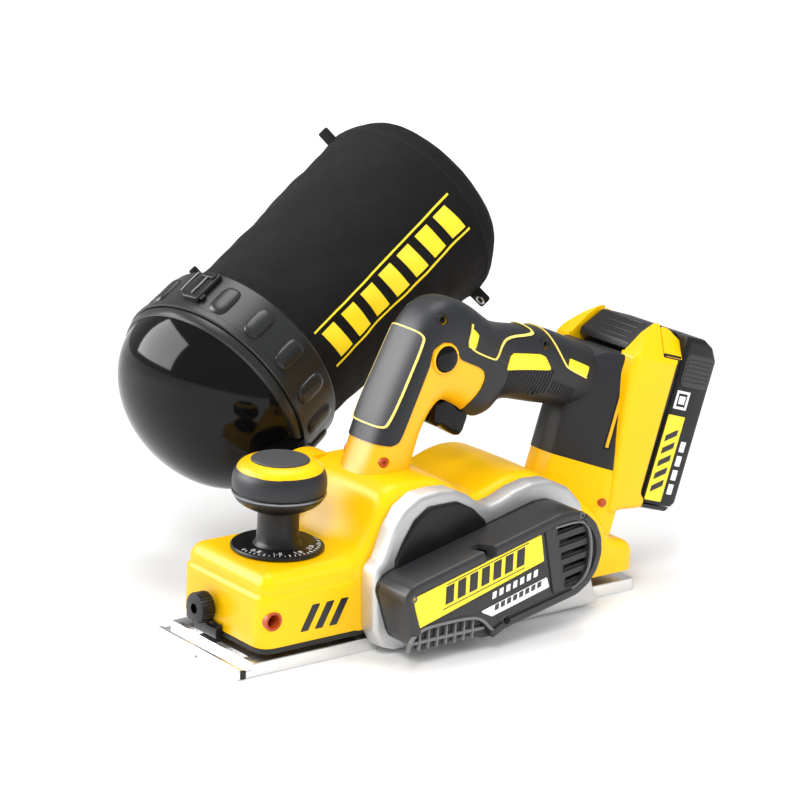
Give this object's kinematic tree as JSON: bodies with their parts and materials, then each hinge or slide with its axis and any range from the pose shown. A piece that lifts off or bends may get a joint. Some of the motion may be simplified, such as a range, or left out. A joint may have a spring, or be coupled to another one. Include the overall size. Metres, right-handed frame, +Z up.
{
  "type": "electric hand planer",
  "caption": "Cordless hand planer with a ribbed belt cover, depth knob, closed handle with trigger, slide-on battery pack and a fabric dust bag on a swivelling elbow.",
  "frame": {"origin": "on the sole, at the middle of the rear shoe, on the centre line of the shoes", "axes": "+X to the rear of the tool, +Y to the dust bag side, +Z up; the sole is Z = 0"},
  "size_m": [0.3563, 0.3051, 0.2598],
  "materials": {
    "yellow_plastic": "satin",
    "dark_overmould": "matt, hatched",
    "grey_overmould": "matt, ribbed",
    "dark_plastic": "satin",
    "black_plastic": "fine texture",
    "black_gloss": "gloss",
    "grey_plastic": "satin",
    "cast_alloy": "cast, matt",
    "machined_alloy": "machined",
    "steel": "ground",
    "bright_band": "polished",
    "copper_winding": "enamelled wire",
    "sintered_bush": "sintered",
    "cell_sleeve": "satin",
    "circuit": "satin",
    "belt_rubber": "ribbed",
    "bag_fabric": "woven"
  },
  "bodies": {
    "planer": {"base_casting": "cast_alloy", "main_housing": "yellow_plastic", "housing_gasket": "belt_rubber", "handle_left": "yellow_plastic", "handle_right": "yellow_plastic", "grip_left": "dark_overmould", "grip_right": "dark_overmould", "rear_panel_left": "dark_plastic", "rear_panel_right": "dark_plastic", "front_pad": "grey_overmould", "grip_inlays": "yellow_plastic", "battery_dock": "yellow_plastic", "dock_terminals": "black_plastic", "guard_panel": "black_plastic", "belt_cover": "dark_plastic", "cover_label": "yellow_plastic", "cover_screws": "steel", "housing_screws": "steel", "chip_duct": "black_plastic", "fence_bush": "sintered_bush", "nose_bracket": "black_plastic", "motor_frame": "steel", "motor_stator": "copper_winding", "motor_bearings": "steel", "drum_bearings": "steel", "controller_module": "circuit", "switch_module": "black_plastic", "drive_belt": "belt_rubber", "spindle_bush": "sintered_bush", "guide_sleeves": "black_plastic", "depth_spring": "steel"},
    "drum": {"cutter_drum": "machined_alloy", "drum_blades": "steel", "blade_clamps": "steel", "clamp_screws": "steel", "drum_pulley": "machined_alloy"},
    "motor_shaft": {"motor_rotor": "steel", "cooling_fan": "black_plastic", "motor_pulley": "machined_alloy"},
    "depth_knob": {"depth_dial": "black_plastic", "knob_core": "black_plastic", "knob_band": "bright_band", "knob_grip": "dark_overmould", "knob_ring": "yellow_plastic", "knob_cap": "grey_plastic", "depth_spindle": "steel"},
    "shoe": {"front_shoe": "cast_alloy"},
    "trigger_lever": {"trigger": "black_gloss"},
    "lock": {"lock_button": "black_gloss"},
    "guide_screw": {"fence_screw": "black_plastic"},
    "battery": {"battery_case": "black_plastic", "battery_cover": "black_plastic", "battery_cells": "cell_sleeve", "battery_grips": "grey_overmould", "battery_label": "yellow_plastic"},
    "latch": {"battery_latch": "black_plastic"},
    "elbow": {"bag_elbow": "black_gloss"},
    "bag": {"bag_collar": "black_gloss", "dust_bag": "bag_fabric", "bag_clip": "black_plastic"}
  },
  "joints": [
    {"name": "drum_spin", "type": "hinge", "parent": "planer", "child": "drum", "pos_m": [-0.099, 0, 0.025], "axis": [0, 1, 0], "continuous": true},
    {"name": "motor_spin", "type": "hinge", "parent": "planer", "child": "motor_shaft", "pos_m": [-0.014, 0, 0.05], "axis": [0, 1, 0], "continuous": true},
    {"name": "depth_knob_turn", "type": "hinge", "parent": "planer", "child": "depth_knob", "pos_m": [-0.163, 0, 0.06], "axis": [0, 0, 1], "range_deg": [0, 330]},
    {"name": "shoe_lift", "type": "slide", "parent": "planer", "child": "shoe", "axis": [0, 0, 1], "range_m": [0, 0.002], "deforming": ["depth_spring"]},
    {"name": "trigger_pull", "type": "slide", "parent": "planer", "child": "trigger_lever", "axis": [0.5, 0, 0.866], "range_m": [0, 0.005], "stiffness_N_per_m": 500, "springref_m": -0.003},
    {"name": "lock_push", "type": "slide", "parent": "planer", "child": "lock", "axis": [0, 1, 0], "range_m": [-0.003, 0.003], "stiffness_N_per_m": 500},
    {"name": "fence_screw_turn", "type": "hinge", "parent": "planer", "child": "guide_screw", "pos_m": [-0.21, 0.008, 0.027], "axis": [1, 0, 0], "range_deg": [0, 360]},
    {"name": "battery_slide", "type": "slide", "parent": "planer", "child": "battery", "axis": [0.289, 0, 0.9573], "range_m": [0, 0.115]},
    {"name": "latch_press", "type": "slide", "parent": "battery", "child": "latch", "axis": [-0.289, 0, -0.9573], "range_m": [0, 0.004], "stiffness_N_per_m": 600, "springref_m": -0.003},
    {"name": "elbow_swivel", "type": "hinge", "parent": "planer", "child": "elbow", "pos_m": [-0.113, 0.05, 0.07], "axis": [0, 1, 0], "range_deg": [-75, 20]},
    {"name": "bag_twist", "type": "hinge", "parent": "elbow", "child": "bag", "pos_m": [-0.1223, 0.125, 0.1115], "axis": [0.854, 0.1925, 0.4833], "range_deg": [0, 20]}
  ],
  "couplings": [
    {"joint": "motor_spin", "follows": "drum_spin", "ratio": 0.72727},
    {"joint": "shoe_lift", "follows": "depth_knob_turn", "m_per_rad": 0.000347}
  ]
}
